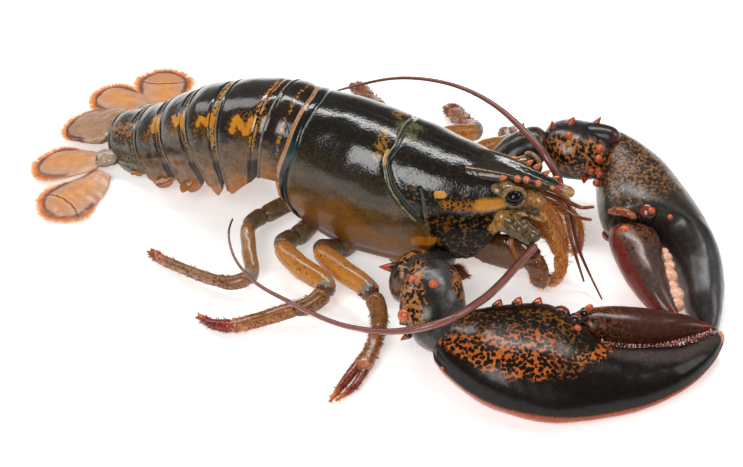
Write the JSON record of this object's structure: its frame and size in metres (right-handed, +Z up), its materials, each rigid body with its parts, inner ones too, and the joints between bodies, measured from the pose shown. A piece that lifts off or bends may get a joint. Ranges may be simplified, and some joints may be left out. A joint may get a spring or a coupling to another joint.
{
  "type": "lobster",
  "caption": "Whole raw lobster lying back up, big claws curved forward until their tips nearly meet, long feelers swept back, legs splayed and tail fan spread.",
  "frame": {"origin": "middle of the bounding box in X and Y, on the table plane under the animal", "axes": "+X from tail to head, +Y to the animal's left, +Z up out of its back"},
  "size_m": [0.3557, 0.2213, 0.0741],
  "materials": {
    "shell_dark": "wet gloss, dark green-black with olive and amber mottling",
    "shell_olive": "wet gloss, olive brown",
    "claw_dark": "wet gloss, near black with orange mottling",
    "leg_amber": "wet gloss, translucent amber",
    "fan_tan": "wet satin, tan with darker ribs and orange hair fringe",
    "feeler_red": "satin reddish brown",
    "eye_black": "polished black",
    "soft_tan": "wet satin, tan and brown"
  },
  "bodies": {
    "root": {"carapace": "shell_dark", "thorax_underside": "soft_tan", "eye_right": "eye_black", "eye_left": "eye_black", "antenna_base_right": "shell_olive", "antenna_base_left": "shell_olive", "antenna_right": "feeler_red", "antenna_left": "feeler_red", "antenna_scale_right": "soft_tan", "antenna_scale_left": "soft_tan", "jaw_leg_right": "soft_tan", "jaw_leg_left": "soft_tan", "antennule_right": "feeler_red", "antennule_left": "feeler_red", "tail_ring_1": "shell_dark", "tail_ring_2": "shell_dark", "tail_ring_3": "shell_dark", "tail_ring_4": "shell_dark", "tail_ring_5": "shell_dark", "tail_ring_6": "shell_dark", "telson": "fan_tan", "fan_foot_right": "shell_olive", "fan_foot_left": "shell_olive", "fan_inner_right": "fan_tan", "fan_inner_left": "fan_tan", "fan_outer_right": "fan_tan", "fan_outer_left": "fan_tan", "swimmeret_2_right": "soft_tan", "swimmeret_3_right": "soft_tan", "swimmeret_4_right": "soft_tan", "swimmeret_5_right": "soft_tan", "swimmeret_2_left": "soft_tan", "swimmeret_3_left": "soft_tan", "swimmeret_4_left": "soft_tan", "swimmeret_5_left": "soft_tan", "leg2_right": "leg_amber", "leg3_right": "leg_amber", "leg4_right": "leg_amber", "leg5_right": "leg_amber", "leg2_left": "leg_amber", "leg3_left": "leg_amber", "leg4_left": "leg_amber", "leg5_left": "leg_amber", "merus_right": "claw_dark", "merus_left": "claw_dark", "carpus_right": "claw_dark", "carpus_left": "claw_dark", "palm_right": "claw_dark", "palm_left": "claw_dark", "finger_right": "claw_dark", "finger_left": "claw_dark"}
  },
  "joints": []
}
